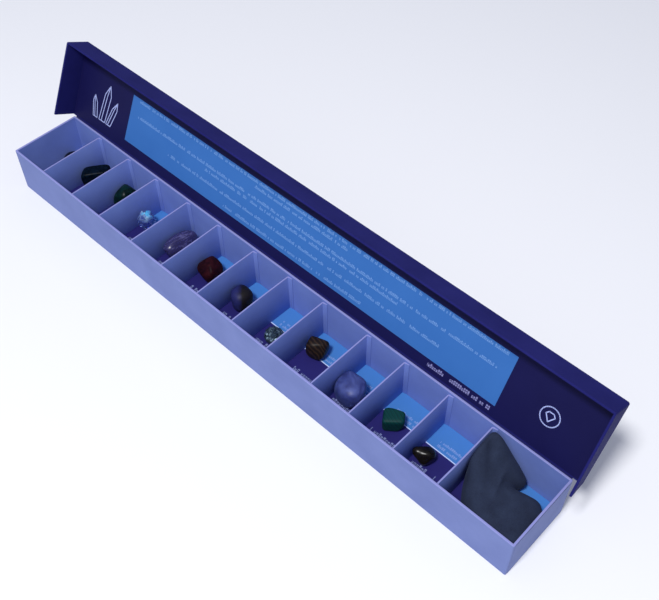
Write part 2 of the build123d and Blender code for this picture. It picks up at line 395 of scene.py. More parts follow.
def printed_floor():
    """Coated card, offset printed: two flat inks with a pale line and small pale marks, and a soft sheen."""
    made, tree = new_material("printed floor card")
    x, y, _ = add(tree, "SeparateXYZ", add(tree, "UVMap", uv_map="print")).node.outputs
    where = add(tree, "TexCoord", out="Object")
    cloud = add(tree, "TexNoise", where, Scale=1 / (15 * MM), Detail=3.0)
    blue = add(tree, "Mix", cloud, linear("#4078BC"), linear("#4880C4"), data_type="RGBA")
    navy = add(tree, "Mix", cloud, linear("#242160"), linear("#2A276C"), data_type="RGBA")
    at_back = add(tree, "Math", y, BORDER, operation="GREATER_THAN")
    inks = add(tree, "Mix", at_back, navy, blue, data_type="RGBA")
    line = add(tree, "Math", y, BORDER, BORDER_WIDTH / 2, operation="COMPARE")
    inks = add(tree, "Mix", line, inks, linear("#C4D6FA"), data_type="RGBA")
    cell = add(tree, "Math", add(tree, "Math", x, CELL_STEP, operation="DIVIDE"), operation="FLOOR")
    middle = add(tree, "Math", cell, CELL_STEP, CELL_STEP / 2, operation="MULTIPLY_ADD")
    offset = add(tree, "Math", x, middle, operation="SUBTRACT")
    # Each cell has its own lengths by its random number. The front row runs from the left, the back rows are
    # centred.
    chance = add(tree, "TexWhiteNoise", cell, noise_dimensions="1D")
    reach = add(tree, "MapRange", chance, 0.0, 1.0, *BACK_REACH)
    centred = add(tree, "Math", add(tree, "Math", offset, operation="ABSOLUTE"), reach, operation="LESS_THAN")
    from_left = inside(tree, offset, FRONT_START, add(tree, "MapRange", chance, 0.0, 1.0, *FRONT_END))
    rows = [(FRONT_ROW, FRONT_DASH, from_left), *[(span, BACK_DASH, centred) for span in BACK_ROWS]]
    marks = 0.0
    for seed, (span, size, length) in enumerate(rows):
        row = product(tree, row_of_dashes(tree, x, y, span, cell, size, float(seed)), length)
        marks = add(tree, "Math", row, marks, operation="ADD")
    small_cells = add(tree, "Math", x, len(DIVIDERS) * CELL_STEP, operation="LESS_THAN")
    inks = add(tree, "Mix", product(tree, marks, small_cells, FLOOR_INK), inks, linear("#A9B8E6"),
               data_type="RGBA")
    return surface(made, Base_Color=inks, Roughness=0.42, Specular_IOR_Level=0.2,
                   Normal=uneven(tree, where, 0.5 * MM, 0.01 * MM, 0.5))


# The lining card's print: a light blue panel on navy, with pale rows centred on it, and a short line of
# larger dashes below it. Places are along the tray from its left face and up the lid from the hinge. Each
# row has its own half length in millimetres; 0 is a blank row. Dashes fill a share of a row's pitch.
PANEL_LEFT, PANEL_RIGHT = 59 * MM, 401 * MM
PANEL_LOW, PANEL_HIGH = 8.4 * MM, 44.2 * MM
ROW_TOP, ROW_PITCH, ROW_SHARE = 43.4 * MM, 3.8 * MM, 0.55
ROW_DASH, ROW_INK = 1.15 * MM, 0.36
HALF_LENGTHS, LENGTH_SCALE = (165, 42, 0, 162, 88, 0, 125, 0, 64), 200
LINE_ENDS, LINE_SPAN = (352 * MM, 399 * MM), (3.8 * MM, 6.5 * MM)
LINE_DASH, LINE_INK = 1.5 * MM, 0.65


def printed_lining():
    """Coated card, offset printed: a navy ground, a light blue panel with rows of pale dashes, soft sheen.

    A colour ramp with a step for each row holds the rows' half lengths as shares of one scale.
    """
    made, tree = new_material("printed lining card")
    x, y, _ = add(tree, "SeparateXYZ", add(tree, "UVMap", uv_map="print")).node.outputs
    where = add(tree, "TexCoord", out="Object")
    cloud = add(tree, "TexNoise", where, Scale=1 / (25 * MM), Detail=3.0)
    navy = add(tree, "Mix", cloud, linear("#121140"), linear("#17174B"), data_type="RGBA")
    blue = add(tree, "Mix", cloud, linear("#3468AE"), linear("#3B70B6"), data_type="RGBA")
    panel = product(tree, inside(tree, x, PANEL_LEFT, PANEL_RIGHT), inside(tree, y, PANEL_LOW, PANEL_HIGH))
    inks = add(tree, "Mix", panel, navy, blue, data_type="RGBA")
    below_top = add(tree, "Math", ROW_TOP, y, operation="SUBTRACT")
    down = add(tree, "Math", below_top, ROW_PITCH, operation="DIVIDE")
    row = add(tree, "Math", down, operation="FLOOR")
    within = add(tree, "Math", down, operation="FRACT")
    count = len(HALF_LENGTHS)
    stops = [(i / count, [half / LENGTH_SCALE] * 3 + [1.0]) for i, half in enumerate(HALF_LENGTHS)]
    step = add(tree, "Math", add(tree, "Math", row, 0.5, operation="ADD"), count, operation="DIVIDE")
    share = add(tree, "ValToRGB", step, stops=stops)
    share.node.color_ramp.interpolation = "CONSTANT"
    from_middle = add(tree, "Math", x, (PANEL_LEFT + PANEL_RIGHT) / 2, operation="SUBTRACT")
    near = add(tree, "Math", add(tree, "Math", from_middle, operation="ABSOLUTE"),
               product(tree, share, LENGTH_SCALE * MM), operation="LESS_THAN")
    strokes = dashes(tree, x, add(tree, "MapRange", within, ROW_SHARE, 0.0), row, ROW_DASH, 1.0)
    rows = product(tree, strokes, near, inside(tree, down, 0.0, float(count)),
                   inside(tree, within, 0.0, ROW_SHARE), ROW_INK)
    inks = add(tree, "Mix", rows, inks, linear("#9CC2F0"), data_type="RGBA")
    below = product(tree, row_of_dashes(tree, x, y, LINE_SPAN, 0.0, LINE_DASH, 2.0),
                    inside(tree, x, *LINE_ENDS), LINE_INK)
    inks = add(tree, "Mix", below, inks, linear("#A4A4DC"), data_type="RGBA")
    return surface(made, Base_Color=inks, Roughness=0.5, Specular_IOR_Level=0.1,
                   Normal=uneven(tree, where, 0.5 * MM, 0.01 * MM, 0.5))


def book_cloth():
    """Starched cotton book cloth: a plain weave of about 20 threads a centimetre, matt with a faint sheen."""
    thread = 0.5 * MM
    made, tree = new_material("navy book cloth")
    chart = add(tree, "UVMap", uv_map="print")
    waves = [add(tree, "Math", product(tree, way, pi / thread), operation="SINE")
             for way in list(add(tree, "SeparateXYZ", chart).node.outputs)[:2]]
    weave = add(tree, "Math", product(tree, *waves), operation="ABSOLUTE")
    slub = add(tree, "TexNoise", chart, Scale=1 / (3 * MM), Detail=3.0)
    colour = add(tree, "Mix", weighted(tree, weave, 0.5, slub), linear("#17184A"), linear("#2A2C6E"),
                 data_type="RGBA")
    relief = add(tree, "Bump", Height=weave, Distance=0.08 * MM, Strength=0.7)
    return surface(made, Base_Color=colour, Roughness=0.85, Sheen_Weight=0.08, Specular_IOR_Level=0.15,
                   Normal=relief)


# ================================================================ tray

RIM_ROUND = 0.4 * MM
TRAY_CORNER = 0.9 * MM
BASE_PAPER = 0.12 * MM


def make_tray_wall():
    """The four walls under one wrap: a closed profile of the wall carried round the tray.

    The profile runs up the outer face, over the round rim, down the inner face and back under the wall.
    """
    a, r = quarter(4), RIM_ROUND
    low, high = TRAY_LOW[2] + BASE_PAPER, TRAY_HIGH[2]
    inset = np.concatenate([r * (1 - np.sin(a)), r * (1 - np.cos(a)), WALL - r + r * np.sin(a), [WALL]])
    height = np.concatenate([low + r * (1 - np.cos(a)), high - r * (1 - np.sin(a)),
                             high - r * (1 - np.cos(a)), [low]])
    grid = carried_round(TRAY_LOW, TRAY_HIGH, inset, height, TRAY_CORNER)
    board_piece("tray_wall_wrap", grid, LAVENDER, "tray", "lavender_paper",
                "tray_front_wall", "tray_back_wall", "tray_left_wall", "tray_right_wall", wrap_rows=True)


def make_tray_bottom():
    """The bottom board between the walls, and the sheet of paper pasted over the turned-in wrap below it."""
    low, high = box("tray_bottom_board")
    low[2] += BASE_PAPER
    board_piece("tray_bottom", board(low, high, 0.2 * MM, 0.1 * MM), LAVENDER, "tray", "lavender_paper",
                "tray_bottom_board")
    margin, pasted = np.array([3.0, 3.0, 0.0]) * MM, 0.02 * MM
    sheet_high = np.array([*TRAY_HIGH[:2], TRAY_LOW[2] + BASE_PAPER + pasted])
    sheet = board(TRAY_LOW + margin, sheet_high - margin, 1.0 * MM, 0.05 * MM)
    board_piece("base_paper", sheet, LAVENDER, "tray", "lavender_paper")


def make_end_papers():
    """The wrap's last flap on each end wall: a thin sheet that stops short of the corners."""
    thick, sunk, short = 0.15 * MM, 0.05 * MM, 1.8 * MM
    for name, face, outwards in (("left", TRAY_LOW[0], -1), ("right", TRAY_HIGH[0], 1)):
        x_low, x_high = sorted((face - outwards * sunk, face + outwards * thick))
        low = np.array([x_low, TRAY_LOW[1] + short, TRAY_LOW[2] + BASE_PAPER + RIM_ROUND])
        high = np.array([x_high, TRAY_HIGH[1] - short, TRAY_HIGH[2] - RIM_ROUND])
        flap = board(low, high, 0.05 * MM, 0.05 * MM)
        board_piece("end_paper_" + name, flap, LAVENDER, "tray", "lavender_paper")


def floor_chart(points):
    """Print place of the floor card: a step for each cell, with the true distance from the cell's middle."""
    edges = np.array(CELL_EDGES)
    cell = np.clip(np.searchsorted(edges, points[:, 0]) - 1, 0, len(edges) - 2)
    middle = (edges[cell] + edges[cell + 1]) / 2
    along = cell * CELL_STEP + CELL_STEP / 2 + points[:, 0] - middle
    return np.stack([along, points[:, 1] - TRAY_LOW[1] - WALL], axis=1)


def make_floor_card():
    """The printed card on the tray's bottom: one strip of faces for each cell, so that the print follows.

    Every other strip is a little thinner, so that the edges of neighbours stay apart under the dividers.
    """
    low, high = box("floor_liner")
    material = printed_floor()
    for number, (left, right) in enumerate(zip(CELL_EDGES[:-1], CELL_EDGES[1:]), start=1):
        strip_low = np.array([max(left, low[0]), low[1], low[2]])
        strip_high = np.array([min(right, high[0]), high[1], high[2] - (0.05 * MM if number % 2 else 0.0)])
        nodes = ["floor_liner"] if number == 1 else []
        board_piece("floor_card_%02d" % number, board(strip_low, strip_high, 0.16 * MM, 0.05 * MM), material,
                    "tray", "floor_print", *nodes, chart=floor_chart)


# ---------------------------------------------------------------- dividers

CARD_FOLD = 0.75 * MM
CARD_EDGE = 0.2 * MM
# The most that a card which is glued in by hand bows, or leans at its top.
HAND_GLUED = 0.3 * MM


def card_path(middle, front, back, tab_end, bow):
    """Middle line and thickness of a folded card seen from above.

    It runs along a tab, a quarter-circle fold, a slightly bowed run, a fold and a tab. The tabs are skived:
    they get thinner towards their ends, with their outer face flat on the wall.
    """
    a, fold = quarter(5), CARD_FOLD
    run = np.linspace(0, 1, 13)[1:-1]
    near = np.stack([middle + fold * (1 - np.sin(a)), front + CARD / 2 + fold * (1 - np.cos(a))], axis=1)
    length = back - front - CARD - 2 * fold
    across = np.stack([middle + bow * np.sin(pi * run), front + CARD / 2 + fold + run * length], axis=1)
    far = np.stack([near[::-1, 0], front + back - near[::-1, 1]], axis=1)
    first = np.array([[tab_end, front + THIN_TAB / 2]])
    last = np.array([[tab_end, back - THIN_TAB / 2]])
    path = np.concatenate([first, near, across, far, last])
    thick = np.full(len(path), CARD)
    thick[[0, -1]] = THIN_TAB
    return path, thick


def carried_card(path, thick, low, high, lean):
    """Grid of a card whose section, a tall rectangle with round edges, is carried along a path."""
    step = np.gradient(path, axis=0)
    normal = np.stack([step[:, 1], -step[:, 0]], axis=1)
    normal /= np.linalg.norm(normal, axis=1, keepdims=True)
    inset, height = edge_profile(low, high, CARD_EDGE, 2)
    side = np.concatenate([0.5 - inset / CARD, inset[::-1] / CARD - 0.5])
    height = np.concatenate([height, height[::-1]])
    points = np.empty((len(path), len(side), 3))
    points[..., :2] = path[:, None, :] + normal[:, None, :] * side[None, :, None] * thick[:, None, None]
    points[..., 2] = height[None, :]
    points[..., 0] += lean * (height[None, :] - low) / (high - low)
    return points


def make_dividers():
    """Twelve folded cards, each a little bowed and leaning, as glued in by hand."""
    rng = np.random.default_rng(12)
    for number, (name, middle) in enumerate(zip(DIVIDERS, DIVIDER_MIDDLES), start=1):
        low, high = box(name)
        path, thick = card_path(middle, low[1], high[1], high[0], rng.uniform(-HAND_GLUED, HAND_GLUED))
        grid = carried_card(path, thick, low[2], high[2], rng.uniform(-HAND_GLUED, HAND_GLUED))
        card = skin("divider_card_%02d" % number, grid, LAVENDER)
        finish_piece(card, "tray", "lavender_paper", name)


# ================================================================ lid

LID_CORNER = 1.4 * MM
LID_EDGE = 0.45 * MM
# The end lips are free at the hinge, where their edges have spread outwards by this much.
SPREAD_LEFT, SPREAD_RIGHT = 0.8 * MM, 1.4 * MM


def make_lid_shell():
    """Panel and lips under one wrap: a profile carried round the panel, deep on three sides.

    Each column is a place on the panel's outline, and each row a place on the profile: over the round
    outer edge, down the lip's outer face, round its free edge and up its inner face. On the hinge side the
    lip's rows lie flat in the panel's underside.
    """
    a, edge, thick = quarter(4), LID_EDGE, LID_BOARD
    z_top, z_in, z_free = LID_HIGH[2], LID_LOW[2], LIP_BOTTOM
    inset = np.concatenate([edge * (1 - np.sin(a)), [0], edge * (1 - np.cos(a)),
                            thick - edge + edge * np.sin(a), [thick]])
    lip_z = np.concatenate([z_top - edge * (1 - np.cos(a)), [z_in], z_free + edge * (1 - np.sin(a)),
                            z_free + edge * (1 - np.cos(a)), [z_in]])
    rows = len(inset)
    on_lip = np.arange(rows) > len(a)
    flat_z = np.where(on_lip, z_in, lip_z)
    hinge_inset = np.where(on_lip, 0.0, inset)
    x0, y0, x1, y1 = LID_LOW[0], LID_LOW[1], LID_HIGH[0], LID_HIGH[1]
    lip_end = shut_box("lid_left_lip")[1][1]
    bend = np.maximum(LID_CORNER - inset, 0.2 * MM)

    def arc(side, start, least_y):
        """Columns of a quarter circle at one of the panel's corners."""
        angle = start + quarter(5)[:, None]
        centre_x = (x0 + inset + bend) if side == 0 else (x1 - inset - bend)
        centre_y = (y0 + inset + bend) if least_y else (y1 - hinge_inset - bend)
        return np.stack([centre_x + bend * np.cos(angle), centre_y + bend * np.sin(angle)], axis=-1)

    def end(side):
        """Column at the hinge end of a lip."""
        x = (x0 + inset) if side == 0 else (x1 - inset)
        return np.stack([x, np.full(rows, lip_end)], axis=-1)[None]

    deep = np.concatenate([end(0), arc(0, pi, True), arc(1, 1.5 * pi, True), end(1)])
    flat = np.concatenate([end(1), arc(1, 0, False), arc(0, pi / 2, False), end(0)])
    outline = np.concatenate([deep, flat])
    z = np.concatenate([np.broadcast_to(lip_z, deep.shape[:2]), np.broadcast_to(flat_z, flat.shape[:2])])
    grid = np.concatenate([outline, z[..., None]], axis=-1).transpose(1, 0, 2)
    depth = np.clip((z_in - grid[..., 2]) / (z_in - z_free), 0, 1)
    free = np.clip((grid[..., 1] - y0) / (lip_end - y0), 0, 1) ** 1.5
    grid[..., 0] += depth * free * np.where(grid[..., 0] > (x0 + x1) / 2, SPREAD_RIGHT, -SPREAD_LEFT)
    board_piece("lid_wrap", turned(grid, OPEN_ANGLE), NAVY, "lid", "navy_paper",
                "lid_panel", "lid_front_lip", "lid_left_lip", "lid_right_lip")


def lid_chart(points):
    """Print place of the lining: along the tray from its left face, and up the lid from the hinge."""
    shut = turned(points, -OPEN_ANGLE)
    return np.stack([shut[:, 0] - TRAY_LOW[0], HINGE[1] - shut[:, 1]], axis=1)


def make_lid_lining():
    """The printed card inside the lid: a flat board with round corners, turned open with the lid."""
    low, high = shut_box("lid_lining")
    grid = turned(board(low, high, 0.3 * MM, 0.1 * MM), OPEN_ANGLE)
    board_piece("lid_lining_card", grid, printed_lining(), "lid", "lid_print", "lid_lining", chart=lid_chart)


# The lining's line figures, in millimetres: a small group of crystals near the left end, and a plain ring
# near the right end. Each crystal has its foot along the tray and up the lid, its half width, the height
# of its shoulder, the height of its point over that, and its slant. The ring has its centre and radius.
CRYSTALS = ((31, 10, 3.4, 21, 8, 0.10), (23, 10, 2.4, 11, 5, -0.24), (38.5, 10, 2.6, 14, 6, 0.30))
RING_CENTRE, RING_RADIUS = (432, 24), 6.2
DROP = ((0, -3.4), (3.0, 1.0), (1.6, 2.8), (-1.6, 2.8), (-3.0, 1.0), (0, -3.4))


def figure_lines():
    """Points of each line figure: a crystal's outline and its inner edge, the ring and the drop in it."""
    for foot_x, foot_s, half, shaft, point, slant in CRYSTALS:
        outline = [(-half, 0), (-half, shaft), (0, shaft + point), (half, shaft), (half, 0), (-half, 0)]
        yield [(foot_x + x + slant * s, foot_s + s) for x, s in outline]
        yield [*[(foot_x - half * 0.2 + slant * s, foot_s + s) for s in (0, shaft * 0.94)],
               (foot_x + slant * (shaft + point), foot_s + shaft + point)]
    centre_x, centre_s = RING_CENTRE
    round_ring = np.linspace(0, 2 * pi, 33)
    yield [(centre_x + RING_RADIUS * cos(t), centre_s + RING_RADIUS * sin(t)) for t in round_ring]
    yield [(centre_x + x, centre_s + s) for x, s in DROP]


def make_lid_marks():
    """The line figures as printed: each stretch of a line is a flat ribbon just above the card.

    A ribbon reaches half its width to both sides, and its ends are pushed out by a quarter of its width.
    """
    ink = surface(new_material("pale printing ink")[0], Base_Color=linear("#A9B4E8"), Roughness=0.5)
    width, lift = 0.7 * MM, 0.03 * MM
    ribbons = []
    for line in figure_lines():
        path = np.array(line) * MM
        start, stop = path[:-1], path[1:]
        way = (stop - start) / np.linalg.norm(stop - start, axis=1, keepdims=True)
        side = np.stack([-way[:, 1], way[:, 0]], axis=1) * width / 2
        start, stop = start - way * width / 4, stop + way * width / 4
        ribbons.append(np.stack([start - side, stop - side, stop + side, start + side], axis=1))
    flat = np.concatenate(ribbons).reshape(-1, 2)
    height = np.full(len(flat), shut_box("lid_lining")[0][2] - lift)
    points = np.stack([flat[:, 0] + TRAY_LOW[0], HINGE[1] - flat[:, 1], height], axis=1)
    mesh = bpy.data.meshes.new("lining_figures")
    mesh.from_pydata(turned(points, OPEN_ANGLE).tolist(), [], np.arange(len(flat)).reshape(-1, 4).tolist())
    figures = add_object("lining_figures", mesh, ink)
    thicken = figures.modifiers.new("ink", "SOLIDIFY")
    thicken.thickness = 0.02 * MM
    finish_piece(figures, "lid", "lid_print")


def make_hinge_cloth():
    """One strip of cloth from the back wall to the lid's outer face, swung through a smooth S at the crease.

    Its path is a straight run up the wall, a cubic curve whose ends keep the two directions, and a straight
    run up the panel. The curve leaves the wall and lands on the lid at small distances from the hinge, and
    its handles pull it straight over their length.
    """
    off_wall, off_lid, pull = 2.2 * MM, 1.2 * MM, 1.6 * MM
    low, high = box("hinge_cloth_lower")
    upper_low, upper_high = shut_box("hinge_cloth_upper")
    thick = high[1] - low[1]
    wall_y = low[1] + thick / 2
    panel_z = (upper_low[2] + upper_high[2]) / 2
    up = turned(np.array([0.0, HINGE[1] - 1.0, HINGE[2]]), OPEN_ANGLE) - HINGE
    leave = np.array([0.0, wall_y, high[2] - off_wall])
    land = turned(np.array([0.0, HINGE[1] - off_lid, panel_z]), OPEN_ANGLE)
    lid_end = turned(np.array([0.0, upper_low[1], panel_z]), OPEN_ANGLE)
    t = np.linspace(0, 1, 13)[:, None]
    first, second = leave + np.array([0, 0, pull]), land - up * pull
    curve = ((1 - t) ** 3 * leave + 3 * (1 - t) ** 2 * t * first + 3 * (1 - t) * t ** 2 * second
             + t ** 3 * land)
    wall_run = np.linspace((0, wall_y, low[2]), leave, 8)[:-1]
    lid_run = np.linspace(land, lid_end, 8)[1:]
    path = np.concatenate([wall_run, curve, lid_run])
    length = np.concatenate([[0], np.cumsum(np.linalg.norm(np.diff(path, axis=0), axis=1))])
    x = np.linspace(low[0], high[0], 61)
    grid = np.empty((len(path), len(x), 3))
    grid[...] = path[:, None, :]
    grid[..., 0] = x
    mesh = bpy.data.meshes.new("hinge_cloth")
    mesh.from_pydata(grid.reshape(-1, 3).tolist(), [], grid_quads(len(path), len(x), False, False).tolist())
    lay_chart(mesh, np.stack(np.broadcast_arrays(x[None, :], length[:, None]), axis=-1).reshape(-1, 2))
    mesh.shade_smooth()
    cloth = add_object("hinge_cloth", mesh, book_cloth())
    thicken = cloth.modifiers.new("cloth", "SOLIDIFY")
    thicken.thickness, thicken.offset = thick * 0.9, 0.0
    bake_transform(cloth)
    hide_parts("hinge_cloth_lower", "hinge_cloth_upper")


# ================================================================ forms of the stones

def sphere_directions():
    """Directions on a grid of latitudes and longitudes, from the south pole to the north."""
    latitude = np.linspace(-pi / 2, pi / 2, 72)[:, None]
    longitude = np.linspace(0, 2 * pi, 120, endpoint=False)[None, :]
    parts = (np.cos(latitude) * np.cos(longitude), np.cos(latitude) * np.sin(longitude),
             np.sin(latitude) * np.ones_like(longitude))
    return np.stack(parts, axis=-1)


def random_way(rng):
    """A random direction, one long."""
    way = rng.normal(size=3)
    return way / np.linalg.norm(way)


def lumps(directions, rng, count, lowest, highest):
    """Sum of smooth waves along random directions, each with its own phase, about 1 high in all."""
    total = np.zeros(directions.shape[:-1])
    for _ in range(count):
        way = random_way(rng) * rng.uniform(lowest, highest)
        total += np.sin(directions @ way + rng.uniform(0, 2 * pi))
    return total / sqrt(count)


def pebble(seed, square=2.4, lump=0.05, flats=5, taper=0.0, tip=(1, 0, 0), point=0.0):
    """Grid of a tumbled stone about its centre.

    The distance in each direction is that of a rounded box (a power sum of the direction's parts), times
    a few lumps, and held softly below some flat planes, as broken faces that tumbling has rounded. The
    stone gets thinner towards its tip by the taper, and point draws the tip out.
    """
    sharp, far, tip_breadth = 14.0, 9.0, 0.12
    rng = np.random.default_rng(seed)
    n = sphere_directions()
    distance = (np.abs(n) ** square).sum(axis=-1) ** (-1 / square)
    distance = distance * (1 + lump * lumps(n, rng, 8, 1.2, 3.2) + lump * 0.22 * lumps(n, rng, 10, 5, 9))
    for _ in range(flats):
        way = random_way(rng)
        plane = np.minimum(rng.uniform(0.80, 0.95) / np.maximum(n @ way, 1e-3), far)
        distance = -np.log(np.exp(-sharp * distance) + np.exp(-sharp * plane)) / sharp
    tip = np.array(tip) / np.linalg.norm(tip)
    distance = distance * (1 + point * np.exp((n @ tip - 1) / tip_breadth))
    points = n * distance[..., None]
    along = points @ tip
    across = points - along[..., None] * tip
    return along[..., None] * tip + across * (1 - taper * np.clip(along + 0.3, 0, 2))[..., None]


def in_box(points, low, high):
    """Points carried into a box, each axis by itself."""
    flat = points.reshape(-1, 3)
    least, most = flat.min(axis=0), flat.max(axis=0)
    return low + (points - least) / (most - least) * (high - low)


def stone_box(name):
    """Box of a stone, let down on the floor card."""
    low, high = box(name + "_stone")
    low[2] = FLOOR + 0.02 * MM
    return low, high


def add_stone(name, material, stretch, turn=0, **form):
    """A tumbled stone of its CAD solid's size; stretch gives its proportions before it is turned."""
    c, s = cos(radians(turn)), sin(radians(turn))
    points = (pebble(**form) * np.array(stretch)) @ np.array([[c, s, 0], [-s, c, 0], [0, 0, 1]])
    made = skin(name + "_pebble", in_box(points, *stone_box(name)), material, caps=False, crease=80)
    finish_piece(made, name + "_stone", name, name + "_stone")


def worn_edges(made, width, segments, **settings):
    """Rounds the edges of a piece a little."""
    ease = made.modifiers.new("worn edges", "BEVEL")
    ease.width, ease.segments = width, segments
    for name, value in settings.items():
        setattr(ease, name, value)


def facet_rock(name, material, seed, facets, depth):
    """A broken crystal: its box cut flat along many directions, so that its faces meet in crisp edges."""
    rng = np.random.default_rng(seed)
    work = bmesh.new()
    bmesh.ops.create_cube(work, size=2.0)
    for _ in range(facets):
        way = random_way(rng)
        cut = bmesh.ops.bisect_plane(work, geom=[*work.verts, *work.edges, *work.faces],
                                     plane_co=way * rng.uniform(*depth), plane_no=way, clear_outer=True)
        rim = [item for item in cut["geom_cut"] if isinstance(item, bmesh.types.BMEdge)]
        if rim:
            bmesh.ops.contextual_create(work, geom=rim)
    bmesh.ops.recalc_face_normals(work, faces=work.faces)
    mesh = bpy.data.meshes.new(name)
    work.to_mesh(mesh)
    work.free()
    mesh.vertices.foreach_set("co", in_box(vertex_places(mesh), *stone_box(name)).ravel())
    made = add_object(name + "_crystal", mesh, material)
    worn_edges(made, 0.18 * MM, 2, limit_method="NONE")
    finish_piece(made, name + "_stone", name, name + "_stone")


def grain_cluster(name, material, seed, count):
    """A cluster of small cube crystals, turned every way and grown into each other over an egg-shaped core.

    The cubes' places are a spiral of even spacing over the core, each a little nearer or farther out.
    """
    room_on_top, golden = 1.4 * MM, pi * (3 - sqrt(5))
    rng = np.random.default_rng(seed)
    low, high = stone_box(name)
    high[2] -= room_on_top
    centre, half = (low + high) / 2, (high - low) / 2
    cube = np.array([(x, y, z) for x in (-1, 1) for y in (-1, 1) for z in (-1, 1)], float)
    quads = [(0, 1, 3, 2), (4, 6, 7, 5), (0, 4, 5, 1), (2, 3, 7, 6), (0, 2, 6, 4), (1, 5, 7, 3)]
    points, faces = [], []
    for i in range(count):
        up = 1 - 2 * (i + 0.5) / count
        flat = sqrt(1 - up * up)
        way = np.array([flat * cos(i * golden), flat * sin(i * golden), up])
        grain = rng.uniform(0.7, 1.5) * MM
        axes = np.linalg.qr(rng.normal(size=(3, 3)))[0]
        place = centre + way * (half - 1.35 * grain) * rng.uniform(0.82, 1.0)
        points.append(place + cube @ axes * grain)
        faces += [[i * len(cube) + corner for corner in quad] for quad in quads]
    mesh = bpy.data.meshes.new(name)
    mesh.from_pydata(np.concatenate(points).tolist(), [], faces)
    clean(mesh)
    made = add_object(name + "_cluster", mesh, material)
    worn_edges(made, 0.08 * MM, 1)
    finish_piece(made, name + "_stone", name, name + "_stone")


# ================================================================ finishes of the stones

def polished(name, colours, size, contrast=(0.35, 0.65), veins=None, **sockets):
    """Polished stone: two colours mixed by cloudy noise, thin pale veins where asked, under a glossy face.

    Veins are a colour, a size and a share. A vein runs where a noise crosses its middle value.
    """
    made, tree = new_material(name)
    where = add(tree, "TexCoord", out="Object")
    cloud = add(tree, "TexNoise", where, Scale=1 / size, Detail=4.0, Roughness=0.6, Distortion=0.6)
    tone = add(tree, "MapRange", cloud, *contrast)
    colour = add(tree, "Mix", tone, *map(linear, colours), data_type="RGBA")
    if veins:
        vein_colour, vein_size, share = veins
        wave = add(tree, "TexNoise", where, Scale=1 / vein_size, Detail=5.0, Roughness=0.6, Distortion=1.2)
        over_middle = add(tree, "Math", wave, 0.5, operation="SUBTRACT")
        from_middle = add(tree, "Math", over_middle, operation="ABSOLUTE")
        line = add(tree, "MapRange", from_middle, 0.0, 0.02, 1.0, 0.0)
        patch = add(tree, "MapRange", add(tree, "TexNoise", where, Scale=1 / (size * 2)), 0.5, 0.62)
        colour = add(tree, "Mix", product(tree, line, patch, share), colour, linear(vein_colour),
                     data_type="RGBA")
    relief = uneven(tree, where, 1.2 * MM, 0.03 * MM, 0.25)
    return surface(made, Base_Color=colour, Normal=relief, **sockets)


def banded(name, bands, size, wobble, roughness):
    """Banded stone: parallel layers of several colours, bent by noise, with a silky gloss."""
    layer_normal = (0.3, 1.0, 0.4)
    made, tree = new_material(name)
    where = add(tree, "TexCoord", out="Object")
    bend = add(tree, "TexNoise", where, Scale=1 / wobble)
    through = add(tree, "VectorMath", where, layer_normal, operation="DOT_PRODUCT", out="Value")
    layers = add(tree, "Math", bend, 2.2, add(tree, "Math", through, size, operation="DIVIDE"),
                 operation="MULTIPLY_ADD")
    fine = add(tree, "TexNoise", where, Scale=1 / (size * 0.2), Detail=3.0)
    layers = add(tree, "Math", fine, 0.15, layers, operation="MULTIPLY_ADD")
    place = add(tree, "Math", layers, operation="FRACT")
    colour = add(tree, "ValToRGB", place, stops=[(at, linear(code)) for at, code in bands])
    return surface(made, Base_Color=colour, Roughness=roughness, Specular_IOR_Level=0.2,
                   Normal=uneven(tree, where, 1.0 * MM, 0.03 * MM, 0.3))


def cloudy_crystal(name, colours, size, clearness, contrast, grain=(1, 1, 1), **sockets):
    """Clear or milky crystal: light passes, and pale veils and cracks inside scatter some of it.

    Grain stretches the veils: a small number on an axis makes them long that way.
    """
    made, tree = new_material(name)
    where = add(tree, "TexCoord", out="Object")
    drawn = add(tree, "Mapping", where, Scale=grain)
    veil = add(tree, "TexNoise", drawn, Scale=1 / size, Detail=5.0, Roughness=0.65, Distortion=1.2)
    cloud = add(tree, "MapRange", veil, *contrast)
    return surface(made, Base_Color=add(tree, "Mix", cloud, *map(linear, colours), data_type="RGBA"),
                   Transmission_Weight=add(tree, "MapRange", cloud, 0.0, 1.0, clearness, clearness * 0.3),
                   Normal=uneven(tree, where, 1.5 * MM, 0.05 * MM, 0.3), **sockets)


